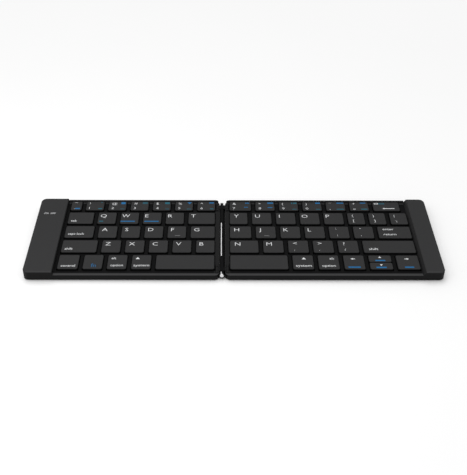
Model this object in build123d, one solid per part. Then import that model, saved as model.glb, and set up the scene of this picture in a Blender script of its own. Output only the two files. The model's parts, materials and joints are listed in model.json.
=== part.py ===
from build123d import *
import os

# A folding keyboard, opened flat. Two shells of keys meet at a fold that runs front to back.
# A link between them has a pivot on each side, so that the halves turn face to face.
# Millimetres. X is to the right, Y to the back and Z up. The origin is on the table,
# under the middle of the opened keyboard.

# ---- driving sizes ----
DEPTH = 88.0                 # front edge to back edge
LEFT_WIDTH = 138.0           # fold to the left end
RIGHT_WIDTH = 155.0          # fold to the right end
FOOT_HEIGHT = 0.4            # rubber foot under the shell
FLOOR = 0.7                  # bottom cover's floor
DECK_TOP = 4.7               # top of the ribs between the keys
RIM_TOP = 6.3                # top of the raised strip along the back
WING_TOP = 7.6               # top of the raised end caps
WALL = 1.1                   # side walls of the shells
WING_SKIN = 1.0              # top skin of the end caps
OUTER_CORNER = 4.0           # corner radius at the ends, seen from above
INNER_CORNER = 3.5           # corner radius beside the fold, seen from above
EDGE_CUT = 0.4               # chamfer of the long outer edges
FIT = 0.05                   # gap between fixed pieces that slide together
RUNNING_GAP = 0.3            # gap between pieces that move past each other

# ---- end caps (distances from the fold) ----
LEFT_WING_TOP_WIDTH = 20.2
RIGHT_WING_TOP_WIDTH = 13.1
LEFT_WING_SLOPE = 0.5        # how far the inner wall leans out below its top
RIGHT_WING_SLOPE = 2.3

# ---- keys ----
KEY_GAP = 3.5                # between key tops, side by side
ROW_GAP = 3.0                # between key tops, front to back
GRAVE_KEY = 8.0              # width of the narrow key before 1
BRACKET_KEY = 12.4           # the two keys after P
BACKSLASH_KEY = 12.7
ARROW_PAIR_KEY = 15.9        # the up and down keys
FRONT_LEDGE = 5.7            # front edge to the first row of key tops
REAR_LEDGE = 1.7             # number row to the back edge
LETTER_ROWS = 3
BOTTOM_ROW_DEPTH = 15.4
NUMBER_ROW_DEPTH = 11.2
FOLD_TO_KEYS = 5.6           # fold to the nearest key top, on both halves
LEFT_KEYS_TO_WING = 2.3      # outer key tops to the foot of the end cap
RIGHT_KEYS_TO_WING = 0.8
NUMBERS_TO_WING = 4.2        # the number row stops short on the right half
KEY_TOP = 5.9
KEY_BOTTOM = 3.6
KEY_FLARE = 0.25             # a key's foot is this much wider than its top, on each side
KEY_CORNER = 0.8             # cut across each upright corner
KEY_EDGE = 0.25              # chamfer round the key top
KEY_WALL = 1.5               # wall round the hollow under a key
KEY_SKIN = 0.9               # thickness over that hollow
KEY_TRAVEL = 1.1

# ---- layers under the keys ----
PLATE = 0.25
MEMBRANE = 0.2
SHEET = 0.15
DOME_HEIGHT = 1.3
DOME_RADIUS = 2.2
DOME_TAPER = 20.0            # degrees
LAYER_MARGIN = 0.3           # gap from the layers to the walls round them

# ---- fold ----
SHELL_TO_FOLD = 2.1          # fold to each shell's inner wall
FOLDED_GAP = 0.3             # between the end caps' height and the half above it, when folded
PIVOT_Z = 4.0
PIN_RADIUS = 0.55
PIN_PLAY = 0.1               # round the pin in the shells' knuckles
KNUCKLE_RADIUS = 1.3
KNUCKLE_LENGTH = 2.5         # of each of the two knuckles beside a link arm
ARM_LENGTH = 3.7             # of a link arm, along the pin
ARM_THICKNESS = 1.4
FRONT_STATION = 7.2          # front edge to the middle of the front arm
BACK_STATION = 7.4           # back edge to the middle of the back arm
SPINE_LEFT = 1.5             # the spine's two sides, from the fold
SPINE_RIGHT = 0.8
SPINE_BOTTOM = 0.7
SPINE_TOP = 4.6
SPINE_END_GAP = 1.6          # from the shells' front and back edges to the spine
SKIRT_BOTTOM = 1.9           # flange on the spine that closes the gaps beside it from below
SKIRT_TOP = 2.4
ROD_RADIUS = 0.6
ROD_COVER = 0.3              # spine over the rod, outside its windows
ROD_OFFSET = 0.7             # the rod is this far to the left of the fold
ROD_WINDOW = (22.0, 26.0)    # front and back edge to the stretch of the rod that is open to view
ROD_FRONT_WINDOW = (2.2, 5.0)  # front edge to the short stretch by the rod's head
ROD_HEAD_RADIUS = 1.3
ROD_HEAD_LENGTH = 0.7
FLEX_WIDTH = 10.0
FLEX_THICKNESS = 0.2
FLEX_FROM_BACK = 20.0        # back edge to the middle of the flat cable
FLEX_REACH = 1.7             # how far the flat cable comes out, from the fold
FLEX_Z = 1.6

# ---- inside the end caps ----
BOARD_THICKNESS = 0.8
BOARD_Z = 2.4
BOARD_MARGIN = 1.0           # board edge to the cap's walls
BOARD_TO_EDGE = 15.0         # front and back edge to the board
POST_WIDTH = 3.6             # square posts round the screws
RAIL_WIDTH = 1.5             # the two rails under the board
SCREW_HEAD_RADIUS = 1.4
SCREW_HEAD = 0.5
SCREW_RADIUS = 0.6
SCREW_SIDES = 10             # small screws are drawn with flat sides
SCREW_TOP = 4.4
LEFT_SCREWS_FROM_WING = 4.2  # cap's inner top edge to the screws
RIGHT_SCREWS_FROM_WING = 7.9
SCREW_FROM_EDGE = 9.0        # front and back edge to the screws
FOOT_LENGTH = 16.0
FOOT_WIDTH = 5.0
FOOT_INSET = 7.0             # foot's edge to the shell's edges
FOOT_CORNER = 1.2
PORT_SIZE = (5.6, 7.6, 2.6)  # charging socket
PORT_SHELL = 0.35
PORT_MIDDLE = 24.0
PORT_RECESS = 0.2            # socket mouth behind the cap's outer wall
SWITCH_SIZE = (8.0, 4.0, 1.8)
SWITCH_SHELL = 0.4
SWITCH_FROM_WING = 11.5      # cap's inner top edge to the middle of the switch
SWITCH_TRAVEL = 2.0
KNOB_WIDTH = 2.6
KNOB_HEIGHT = 1.2
KNOB_RECESS = 0.2            # knob behind the back face
STEM_WIDTH = 1.4
STEM_HEIGHT = 0.8
BATTERY_WIDTH = 9.0
BATTERY_HEIGHT = 3.6
BATTERY_TO_EDGE = 13.0       # front and back edge to the battery

# ---- worked out from the sizes above ----
LEFT, RIGHT = -1, 1
FOLD_X = (LEFT_WIDTH - RIGHT_WIDTH) / 2
FRONT_Y = -DEPTH / 2
WIDTH = {LEFT: LEFT_WIDTH, RIGHT: RIGHT_WIDTH}
WING_INNER_TOP = {
    LEFT: LEFT_WIDTH - LEFT_WING_TOP_WIDTH,
    RIGHT: RIGHT_WIDTH - RIGHT_WING_TOP_WIDTH,
}
WING_INNER_FOOT = {
    LEFT: WING_INNER_TOP[LEFT] - LEFT_WING_SLOPE,
    RIGHT: WING_INNER_TOP[RIGHT] - RIGHT_WING_SLOPE,
}
KEYS_END = {
    LEFT: WING_INNER_FOOT[LEFT] - LEFT_KEYS_TO_WING,
    RIGHT: WING_INNER_FOOT[RIGHT] - RIGHT_KEYS_TO_WING,
}
FLOOR_TOP = FOOT_HEIGHT + FLOOR
PLATE_TOP = FLOOR_TOP + PLATE
MEMBRANE_TOP = PLATE_TOP + MEMBRANE
SHEET_TOP = MEMBRANE_TOP + SHEET
PARTING_Z = SHEET_TOP        # the upper pieces meet the bottom cover level with the layers
PIVOT_OUT = WING_TOP + FOLDED_GAP / 2 - PIVOT_Z
KEY_CLEAR = KEY_FLARE + RUNNING_GAP
HALF_KEY_GAP = 2 * KEY_FLARE + RUNNING_GAP      # between the tops of the up and the down key
NAMES = {LEFT: "left", RIGHT: "right"}


def row_fronts():
    """Front edge of each row of key tops, from the front row to the number row."""
    gaps = ROW_GAP * (LETTER_ROWS + 1)
    letter_rows = DEPTH - FRONT_LEDGE - REAR_LEDGE - BOTTOM_ROW_DEPTH - NUMBER_ROW_DEPTH - gaps
    depths = [BOTTOM_ROW_DEPTH] + [letter_rows / LETTER_ROWS] * LETTER_ROWS + [NUMBER_ROW_DEPTH]
    fronts = [FRONT_LEDGE]
    for depth in depths[:-1]:
        fronts.append(fronts[-1] + depth + ROW_GAP)
    return list(zip(fronts, depths))


# Rows run from the front to the back. Each key is a name and its top's width.
# None takes a letter key's width, and FILL takes what is left of the row.
FILL = -1.0
LEFT_ROWS = [
    [("control", 14.2), ("function", None), ("alternate", None), ("command", None), ("space", FILL)],
    [("shift", 25.1), ("z", None), ("x", None), ("c", None), ("v", None), ("b", FILL)],
    [("capitals", 20.8), ("a", None), ("s", None), ("d", None), ("f", None), ("g", FILL)],
    [("tab", 18.6), ("q", None), ("w", None), ("e", None), ("r", None), ("t", FILL)],
    [("grave", GRAVE_KEY), ("1", None), ("2", None), ("3", None), ("4", None), ("5", None), ("6", None)],
]
RIGHT_ROWS = [
    [("space", 40.6), ("command", None), ("alternate", None), ("arrow_left", None),
     ("arrow_pair", ARROW_PAIR_KEY), ("arrow_right", FILL)],
    [("n", 20.4), ("m", None), ("comma", None), ("period", None), ("slash", None), ("shift", FILL)],
    [("h", 15.6), ("j", None), ("k", None), ("l", None), ("semicolon", None), ("quote", None),
     ("enter", FILL)],
    [("y", 13.2), ("u", None), ("i", None), ("o", None), ("p", None),
     ("bracket_open", BRACKET_KEY), ("bracket_close", BRACKET_KEY),
     ("backslash", BACKSLASH_KEY)],
    [("7", 16.2), ("8", None), ("9", None), ("0", None), ("minus", None), ("equals", None),
     ("backspace", FILL)],
]
FULL_ROW = {LEFT: LEFT_ROWS[4], RIGHT: RIGHT_ROWS[3]}    # the letter keys' width comes from these
MODIFIERS = ("control", "function", "alternate", "command", "shift", "capitals", "tab", "enter")
PUNCTUATION = ("comma", "period", "slash", "semicolon", "quote",
               "bracket_open", "bracket_close", "backslash")


def letter_width(side):
    """A letter key's width: an equal share of what the other keys of a full row leave."""
    row = FULL_ROW[side]
    given = [width for name, width in row if width is not None]
    room = KEYS_END[side] - FOLD_TO_KEYS - KEY_GAP * (len(row) - 1) - sum(given)
    return room / (len(row) - len(given))


def lay_out(side):
    """Every key top of one half, as (name, near, far, front, back).

    near and far are distances from the fold, front and back are distances from the front edge.
    """
    rows = LEFT_ROWS if side == LEFT else RIGHT_ROWS
    letter = letter_width(side)
    keys = []
    for row, (front, depth) in zip(rows, row_fronts()):
        end = KEYS_END[side]
        if side == RIGHT and row is rows[-1]:
            end = WING_INNER_FOOT[RIGHT] - NUMBERS_TO_WING
        widths = [letter if width is None else width for name, width in row]
        used = sum(width for width in widths if width > 0) + KEY_GAP * (len(row) - 1)
        widths = [end - FOLD_TO_KEYS - used if width == FILL else width for width in widths]
        at = FOLD_TO_KEYS
        ordered = list(zip(row, widths))
        if side == LEFT:
            ordered.reverse()
        for (name, given), width in ordered:
            keys.append((name, at, at + width, front, front + depth))
            at += width + KEY_GAP
    return keys


def split_pair(key):
    """The up and the down key, from the place that they share."""
    name, near, far, front, back = key
    middle = (front + back) / 2
    return [
        ("arrow_down", near, far, front, middle - HALF_KEY_GAP / 2),
        ("arrow_up", near, far, middle + HALF_KEY_GAP / 2, back),
    ]


def node_of(side, name):
    """The node that a key belongs to."""
    if name == "space":
        return "key_space_" + NAMES[side]
    if name.startswith("arrow"):
        return "keys_arrow"
    if name in MODIFIERS:
        return "keys_modifier_" + NAMES[side]
    if name in PUNCTUATION:
        return "keys_punctuation"
    if len(name) == 1 and name.isalpha():
        return "key_" + name
    return "keys_number_" + NAMES[side]


# ---- places ----
def x_at(side, out):
    """X of a point at a distance from the fold."""
    return FOLD_X + side * out


def y_at(along):
    """Y of a point at a distance from the front edge."""
    return FRONT_Y + along


def block(side, near, far, front, back, low, high):
    """A box between distances from the fold, from the front edge and from the table."""
    middle = Pos(x_at(side, (near + far) / 2), y_at((front + back) / 2), (low + high) / 2)
    return middle * Box(far - near, back - front, high - low)


def screw_stem(side, out, along, radius, low, high):
    """One upright stretch of a screw, or of the hole for it."""
    foot = Pos(x_at(side, out), y_at(along), low)
    return foot * extrude(RegularPolygon(radius, SCREW_SIDES), amount=high - low)


def post(side, out, along, low, high):
    """A square post round a screw."""
    half = POST_WIDTH / 2
    return block(side, out - half, out + half, along - half, along + half, low, high)


def cut_rectangle(width, depth, cut):
    """A rectangle with its corners cut off."""
    return chamfer(Rectangle(width, depth).vertices(), cut)


def along_fold(x, z, radius, front, back):
    """A cylinder that lies front to back."""
    return Pos(x, y_at((front + back) / 2), z) * Rot(90, 0, 0) * Cylinder(radius, back - front)


# ---- shells ----
def half_outline(side):
    """One half seen from above, with its rounded corners."""
    face = Rectangle(WIDTH[side] - SHELL_TO_FOLD, DEPTH)
    ends = face.vertices().group_by(Axis.X)
    face = fillet(ends[-1] if side == RIGHT else ends[0], OUTER_CORNER)
    ends = face.vertices().group_by(Axis.X)
    face = fillet(ends[0] if side == RIGHT else ends[-1], INNER_CORNER)
    return Pos(x_at(side, (WIDTH[side] + SHELL_TO_FOLD) / 2), 0) * face


def prism(face, low, high):
    """A flat face raised between two heights."""
    return extrude(Pos(0, 0, low) * face, amount=high - low)


def inner_room(side, low, high):
    """The space inside the side walls of one half, cut across inside the rounded corners."""
    room = Rectangle(WIDTH[side] - SHELL_TO_FOLD - 2 * WALL, DEPTH - 2 * WALL)
    ends = room.vertices().group_by(Axis.X)
    room = chamfer(ends[-1] if side == RIGHT else ends[0], OUTER_CORNER / 2)
    return prism(Pos(x_at(side, (WIDTH[side] + SHELL_TO_FOLD) / 2), 0) * room, low, high)


def stations():
    """Where the link's arms are, as (front, back) along the fold."""
    return [(middle - ARM_LENGTH / 2, middle + ARM_LENGTH / 2) for middle in (FRONT_STATION, DEPTH - BACK_STATION)]


def knuckle_spans():
    """Where the shells' knuckles are: one before and one behind each arm."""
    spans = []
    for front, back in stations():
        spans.append((front - RUNNING_GAP - KNUCKLE_LENGTH, front - RUNNING_GAP))
        spans.append((back + RUNNING_GAP, back + RUNNING_GAP + KNUCKLE_LENGTH))
    return spans


def arm_slots(side, low):
    """The room that the link's arms turn in, cut from a shell piece above the height low."""
    slots = []
    for front, back in stations():
        slots.append(block(side, 0, PIVOT_OUT + KNUCKLE_RADIUS + RUNNING_GAP,
                           front - RUNNING_GAP, back + RUNNING_GAP, low, WING_TOP))
    return slots


def bottom_cover(side):
    """The tray under one half: a floor, a low wall, and posts for the screws."""
    tray = prism(half_outline(side), FOOT_HEIGHT, PARTING_Z)
    under = tray.faces().sort_by(Axis.Z)[0].edges()
    tray = chamfer(under, EDGE_CUT)
    tray -= inner_room(side, FLOOR_TOP, PARTING_Z)
    for out, along in screw_places(side):
        tray += post(side, out, along, FLOOR_TOP, BOARD_Z)
    if side == LEFT:
        tray += board_rails()
    for out, along in screw_places(side):
        tray -= screw_stem(side, out, along, SCREW_HEAD_RADIUS + FIT, FOOT_HEIGHT, FOOT_HEIGHT + SCREW_HEAD)
        tray -= screw_stem(side, out, along, SCREW_RADIUS + FIT, FOOT_HEIGHT, BOARD_Z)
    slot_floor = PIVOT_Z - KNUCKLE_RADIUS - RUNNING_GAP
    for slot in arm_slots(side, slot_floor):
        tray -= slot
    return tray


def key_frame(side):
    """The grille that the keys rise through, with its front ledge, rear rim and knuckles."""
    end = WING_INNER_FOOT[side]
    inside = block(side, 0, end, 0, DEPTH, PARTING_Z, RIM_TOP)
    frame = prism(half_outline(side), PARTING_Z, DECK_TOP) & inside
    rim_front = row_fronts()[-1][0] + NUMBER_ROW_DEPTH + KEY_CLEAR
    rim = block(side, 0, end, rim_front, DEPTH, PARTING_Z, RIM_TOP)
    frame += prism(half_outline(side), PARTING_Z, RIM_TOP) & rim
    for front, back in knuckle_spans():
        frame += along_fold(x_at(side, PIVOT_OUT), PIVOT_Z, KNUCKLE_RADIUS, front, back)
    holes = [block(side, near - KEY_CLEAR, far + KEY_CLEAR, front - KEY_CLEAR, back + KEY_CLEAR,
                   SHEET_TOP - FIT, RIM_TOP)
             for name, near, far, front, back in lay_out(side)]
    frame -= holes
    frame -= arm_slots(side, PARTING_Z)
    for front, back in knuckle_spans():
        frame -= along_fold(x_at(side, PIVOT_OUT), PIVOT_Z, PIN_RADIUS + PIN_PLAY, front, back)
    return frame


def wing_profile(side, inset=0.0):
    """An end cap's cross-section from the inner wall outwards, as a prism along Y."""
    foot = x_at(side, WING_INNER_FOOT[side] + inset)
    top = x_at(side, WING_INNER_TOP[side] + inset)
    outer = x_at(side, WIDTH[side] - inset)
    high = WING_TOP - (WING_SKIN if inset else 0)
    corners = [(foot, PARTING_Z), (foot, DECK_TOP), (top, high), (outer, high), (outer, PARTING_Z)]
    face = make_face(Polyline(*corners, close=True))
    length = DEPTH - 2 * inset
    return Pos(0, length / 2, 0) * extrude(Plane.XZ * face, amount=length)


def wing_cover(side):
    """The raised cap over one end, hollow, with posts for the screws."""
    cap = prism(half_outline(side), PARTING_Z, WING_TOP) & wing_profile(side)
    cap = chamfer(cap.faces().sort_by(Axis.Z)[-1].edges(), EDGE_CUT)
    cap -= wing_profile(side, WALL) & inner_room(side, PARTING_Z, WING_TOP)
    for out, along in screw_places(side):
        cap += post(side, out, along, BOARD_Z, WING_TOP - WING_SKIN)
        cap -= screw_stem(side, out, along, SCREW_RADIUS + FIT, BOARD_Z, SCREW_TOP + FIT)
    if side == LEFT:
        cap -= port_mouth()
        cap -= knob_slot()
    return cap


# ---- layers and keys ----
def layer(side, low, high):
    """One flat layer under the keys."""
    return block(side, PIVOT_OUT + KNUCKLE_RADIUS + RUNNING_GAP, WING_INNER_FOOT[side] - WALL - LAYER_MARGIN,
                 WALL + LAYER_MARGIN, DEPTH - WALL - LAYER_MARGIN, low, high)


def dome_sheet(side):
    """The rubber sheet, with one dome under each key."""
    sheet = layer(side, MEMBRANE_TOP, SHEET_TOP)
    domes = []
    for name, near, far, front, back in lay_out(side):
        places = split_pair((name, near, far, front, back)) if name == "arrow_pair" else \
            [(name, near, far, front, back)]
        for _, near, far, front, back in places:
            foot = Pos(x_at(side, (near + far) / 2), y_at((front + back) / 2), SHEET_TOP)
            domes.append(extrude(foot * RegularPolygon(DOME_RADIUS, 4), amount=DOME_HEIGHT, taper=DOME_TAPER))
    return sheet + domes


def keycap(side, near, far, front, back):
    """A key: a cap that widens towards its foot, with a hollow under it for the dome."""
    width, depth = far - near, back - front
    middle = Pos(x_at(side, (near + far) / 2), y_at((front + back) / 2), 0)
    foot = cut_rectangle(width + 2 * KEY_FLARE, depth + 2 * KEY_FLARE, KEY_CORNER + KEY_FLARE)
    top = cut_rectangle(width, depth, KEY_CORNER)
    cap = loft([Pos(0, 0, KEY_BOTTOM) * foot, Pos(0, 0, KEY_TOP) * top], ruled=True)
    cap = chamfer(cap.faces().sort_by(Axis.Z)[-1].edges(), KEY_EDGE)
    hollow_height = KEY_TOP - KEY_SKIN - KEY_BOTTOM
    hollow = Pos(0, 0, KEY_BOTTOM + hollow_height / 2) * Box(
        width - 2 * KEY_WALL, depth - 2 * KEY_WALL, hollow_height)
    return middle * (cap - hollow)


def key_nodes():
    """Every key solid, sorted into its node."""
    nodes = {}
    for side in (LEFT, RIGHT):
        for key in lay_out(side):
            keys = split_pair(key) if key[0] == "arrow_pair" else [key]
            for name, near, far, front, back in keys:
                nodes.setdefault(node_of(side, name), []).append(keycap(side, near, far, front, back))
    return nodes


# ---- fold ----
def hinge_spine():
    """The link: a bar between the halves, with two arms that reach both pins."""
    front, back = SPINE_END_GAP, DEPTH - SPINE_END_GAP
    middle_x = FOLD_X + (SPINE_RIGHT - SPINE_LEFT) / 2
    bar = Pos(middle_x, y_at((front + back) / 2), (SPINE_BOTTOM + SPINE_TOP) / 2) * Box(
        SPINE_LEFT + SPINE_RIGHT, back - front, SPINE_TOP - SPINE_BOTTOM)
    bar += Pos(FOLD_X, y_at((front + back) / 2), (SKIRT_BOTTOM + SKIRT_TOP) / 2) * Box(
        2 * (SHELL_TO_FOLD - RUNNING_GAP), back - front, SKIRT_TOP - SKIRT_BOTTOM)
    for start, end in stations():
        bar += Pos(FOLD_X, y_at((start + end) / 2), PIVOT_Z) * Box(
            2 * PIVOT_OUT, end - start, ARM_THICKNESS)
        for side in (LEFT, RIGHT):
            bar += along_fold(x_at(side, PIVOT_OUT), PIVOT_Z, KNUCKLE_RADIUS, start, end)
            bar -= along_fold(x_at(side, PIVOT_OUT), PIVOT_Z, PIN_RADIUS + FIT, start, end)
    channel = 2 * (ROD_RADIUS + FIT)
    bar -= Pos(FOLD_X - ROD_OFFSET, 0, rod_z()) * Box(channel, DEPTH, channel)
    for start, end in ((ROD_WINDOW[0], DEPTH - ROD_WINDOW[1]), ROD_FRONT_WINDOW):
        window = Box(channel, end - start, 2 * (SPINE_TOP - rod_z()))
        bar -= Pos(FOLD_X - ROD_OFFSET, y_at((start + end) / 2), SPINE_TOP) * window
    bar -= Pos(FOLD_X, y_at(DEPTH - FLEX_FROM_BACK), FLEX_Z) * Box(
        2 * PIVOT_OUT, FLEX_WIDTH + 2 * FIT, FLEX_THICKNESS + 2 * FIT)
    return bar


def rod_z():
    """Height of the rod's axis."""
    return SPINE_TOP - ROD_COVER - ROD_RADIUS - FIT


def hinge_rod():
    """The steel rod through the spine, with its flattened head at the front."""
    x = FOLD_X - ROD_OFFSET
    rod = along_fold(x, rod_z(), ROD_RADIUS, SPINE_END_GAP, DEPTH - SPINE_END_GAP)
    head_x = FOLD_X + (SPINE_RIGHT - SPINE_LEFT) / 2
    head = along_fold(head_x, rod_z() - FIT, ROD_HEAD_RADIUS, SPINE_END_GAP - ROD_HEAD_LENGTH, SPINE_END_GAP)
    return rod + head


def hinge_pins(side):
    """The two pins of one pivot."""
    pins = []
    for start, end in stations():
        reach = RUNNING_GAP + KNUCKLE_LENGTH
        pins.append(along_fold(x_at(side, PIVOT_OUT), PIVOT_Z, PIN_RADIUS, start - reach, end + reach))
    return pins


def flex_cable():
    """The flat cable's stretch across the fold."""
    return Pos(FOLD_X, y_at(DEPTH - FLEX_FROM_BACK), FLEX_Z) * Box(2 * FLEX_REACH, FLEX_WIDTH, FLEX_THICKNESS)


# ---- inside the end caps ----
def screw_places(side):
    """The screws of one half, as distances from the fold and from the front edge."""
    out = WING_INNER_TOP[side] + (LEFT_SCREWS_FROM_WING if side == LEFT else RIGHT_SCREWS_FROM_WING)
    return [(out, SCREW_FROM_EDGE), (out, DEPTH - SCREW_FROM_EDGE)]


def screws(side):
    """The screws that hold the cap to the bottom cover."""
    made = []
    for out, along in screw_places(side):
        head_top = FOOT_HEIGHT + SCREW_HEAD
        head = screw_stem(side, out, along, SCREW_HEAD_RADIUS, FOOT_HEIGHT, head_top)
        made.append(head + screw_stem(side, out, along, SCREW_RADIUS, FOOT_HEIGHT, SCREW_TOP))
    return made


def feet(side):
    """The rubber feet of one half: four strips stuck under the floor."""
    near = SHELL_TO_FOLD + FOOT_INSET + FOOT_LENGTH / 2
    far = WIDTH[side] - FOOT_INSET - FOOT_LENGTH / 2
    front = FOOT_INSET + FOOT_WIDTH / 2
    pad = extrude(cut_rectangle(FOOT_LENGTH, FOOT_WIDTH, FOOT_CORNER), amount=FOOT_HEIGHT)
    return [Pos(x_at(side, out), y_at(along), 0) * pad
            for out in (near, far) for along in (front, DEPTH - front)]


def board_span():
    """The board's inner and outer edge, from the fold."""
    return (WING_INNER_TOP[LEFT] + WALL + BOARD_MARGIN, WIDTH[LEFT] - WALL - BOARD_MARGIN)


def circuit_board():
    """The board in the left cap. A tongue at the back carries the switch."""
    near, far = board_span()
    front, back = BOARD_TO_EDGE, DEPTH - BOARD_TO_EDGE
    board = block(LEFT, near, far, front, back, BOARD_Z, BOARD_Z + BOARD_THICKNESS)
    out = switch_middle()
    half = SWITCH_SIZE[0] / 2 + FIT
    board += block(LEFT, out - half, out + half, back, switch_back(), BOARD_Z, BOARD_Z + BOARD_THICKNESS)
    return board


def board_rails():
    """Two rails of the bottom cover that the board stands on."""
    near, far = board_span()
    front, back = BOARD_TO_EDGE, DEPTH - BOARD_TO_EDGE
    return [block(LEFT, start, start + RAIL_WIDTH, front, back, FLOOR_TOP, BOARD_Z)
            for start in (near, far - RAIL_WIDTH)]


def port_span():
    """The charging socket's inner and outer end, its front and back, and its bottom and top."""
    far = WIDTH[LEFT] - PORT_RECESS
    low = BOARD_Z + BOARD_THICKNESS
    return (far - PORT_SIZE[0], far, PORT_MIDDLE - PORT_SIZE[1] / 2, PORT_MIDDLE + PORT_SIZE[1] / 2,
            low, low + PORT_SIZE[2])


def charging_port():
    """The charging socket: a metal shell with a tongue in its mouth."""
    near, far, front, back, low, high = port_span()
    shell = block(LEFT, near, far, front, back, low, high)
    shell -= block(LEFT, near + PORT_SHELL, far, front + PORT_SHELL, back - PORT_SHELL,
                   low + PORT_SHELL, high - PORT_SHELL)
    middle = (low + high) / 2
    tongue_high = middle + PORT_SHELL
    shell += block(LEFT, near, far - 2 * PORT_SHELL, front + 4 * PORT_SHELL, back - 4 * PORT_SHELL,
                   middle, tongue_high)
    return shell


def port_mouth():
    """The hole in the left cap that the socket shows in."""
    near, far, front, back, low, high = port_span()
    return block(LEFT, near, WIDTH[LEFT] + WALL, front - FIT, back + FIT, low - FIT, high + FIT)


def switch_middle():
    """The middle of the switch, from the fold."""
    return WING_INNER_TOP[LEFT] + SWITCH_FROM_WING


def switch_back():
    """The back of the switch body, from the front edge."""
    return DEPTH - WALL - FIT


def knob_z():
    """Height of the knob's middle."""
    return BOARD_Z + BOARD_THICKNESS + SWITCH_SIZE[2] / 2


def across(out, width, front, back, height):
    """A block at the knob's height."""
    return block(LEFT, out - width / 2, out + width / 2, front, back,
                 knob_z() - height / 2, knob_z() + height / 2)


def switch_body():
    """The slide switch's housing on the board, open at the back for its stem."""
    out, back = switch_middle(), switch_back()
    front = back - SWITCH_SIZE[1]
    body = across(out, SWITCH_SIZE[0], front, back, SWITCH_SIZE[2])
    stem_room = STEM_WIDTH + SWITCH_TRAVEL + 2 * RUNNING_GAP
    return body - across(out, stem_room, front + SWITCH_SHELL, back, STEM_HEIGHT + RUNNING_GAP)


def switch_knob():
    """The knob at its ON end, with the stem that reaches into the housing."""
    out = switch_middle() + SWITCH_TRAVEL / 2
    outer = DEPTH - KNOB_RECESS
    inner = switch_back() - SWITCH_SIZE[1] + SWITCH_SHELL + RUNNING_GAP
    head = across(out, KNOB_WIDTH, switch_back() + RUNNING_GAP, outer, KNOB_HEIGHT)
    return head + across(out, STEM_WIDTH, inner, outer, STEM_HEIGHT)


def knob_slot():
    """The slot in the left cap's back wall that the knob slides in."""
    width = KNOB_WIDTH + SWITCH_TRAVEL + 2 * RUNNING_GAP
    return across(switch_middle(), width, switch_back(), DEPTH + WALL, KNOB_HEIGHT + 2 * RUNNING_GAP)


def battery():
    """The battery in the right cap."""
    middle = (WING_INNER_TOP[RIGHT] + WIDTH[RIGHT]) / 2
    return block(RIGHT, middle - BATTERY_WIDTH / 2, middle + BATTERY_WIDTH / 2,
                 BATTERY_TO_EDGE, DEPTH - BATTERY_TO_EDGE, FLOOR_TOP, FLOOR_TOP + BATTERY_HEIGHT)


def save(name, solids):
    """Write one node, of one solid or of several."""
    if isinstance(solids, list):
        solids = Compound(children=solids) if len(solids) > 1 else solids[0]
    export_step(solids, "parts/" + name + ".step")


def main():
    os.makedirs("parts", exist_ok=True)
    for side in (LEFT, RIGHT):
        hand = NAMES[side]
        save(hand + "_bottom_cover", bottom_cover(side))
        save(hand + "_key_frame", key_frame(side))
        save(hand + "_wing_cover", wing_cover(side))
        save(hand + "_base_plate", layer(side, FLOOR_TOP, PLATE_TOP))
        save(hand + "_membrane", layer(side, PLATE_TOP, MEMBRANE_TOP))
        save(hand + "_dome_sheet", dome_sheet(side))
        save(hand + "_feet", feet(side))
        save(hand + "_screws", screws(side))
        save(hand + "_hinge_pins", hinge_pins(side))
    save("circuit_board", circuit_board())
    save("charging_port", charging_port())
    save("switch_body", switch_body())
    save("switch_knob", switch_knob())
    save("battery", battery())
    save("hinge_spine", hinge_spine())
    save("hinge_rod", hinge_rod())
    save("flex_cable", flex_cable())
    for name, solids in key_nodes().items():
        save(name, solids)


main()
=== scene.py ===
"""Finishes, printed key legends and small fittings for the folding keyboard.

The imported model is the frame. Everything here sits on its parts and moves with them.
Lengths are in metres, X to the right, Y to the back and Z up.
"""

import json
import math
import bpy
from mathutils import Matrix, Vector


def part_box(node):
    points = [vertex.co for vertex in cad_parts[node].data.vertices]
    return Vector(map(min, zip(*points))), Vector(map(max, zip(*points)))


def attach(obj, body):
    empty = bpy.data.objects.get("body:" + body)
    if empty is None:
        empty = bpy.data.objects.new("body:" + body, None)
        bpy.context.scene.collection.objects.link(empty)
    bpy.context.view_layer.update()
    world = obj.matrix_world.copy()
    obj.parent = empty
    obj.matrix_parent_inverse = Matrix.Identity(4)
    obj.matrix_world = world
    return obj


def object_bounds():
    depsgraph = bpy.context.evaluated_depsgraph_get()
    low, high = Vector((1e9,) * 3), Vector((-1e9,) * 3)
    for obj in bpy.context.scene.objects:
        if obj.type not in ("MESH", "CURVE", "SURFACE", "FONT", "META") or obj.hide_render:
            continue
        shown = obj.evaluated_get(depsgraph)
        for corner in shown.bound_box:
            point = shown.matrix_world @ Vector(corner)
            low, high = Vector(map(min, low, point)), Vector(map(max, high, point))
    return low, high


bl_info = {
    "name": "Folding keyboard finishes",
    "version": (1, 0, 0),
    "blender": (4, 5, 0),
    "location": "3D View > Sidebar > Keyboard",
    "description": "Gives the folding keyboard its plastics, metals, key printing and studio",
    "category": "Object",
}

import bmesh
import bpy
from mathutils import Matrix, Vector

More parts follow.
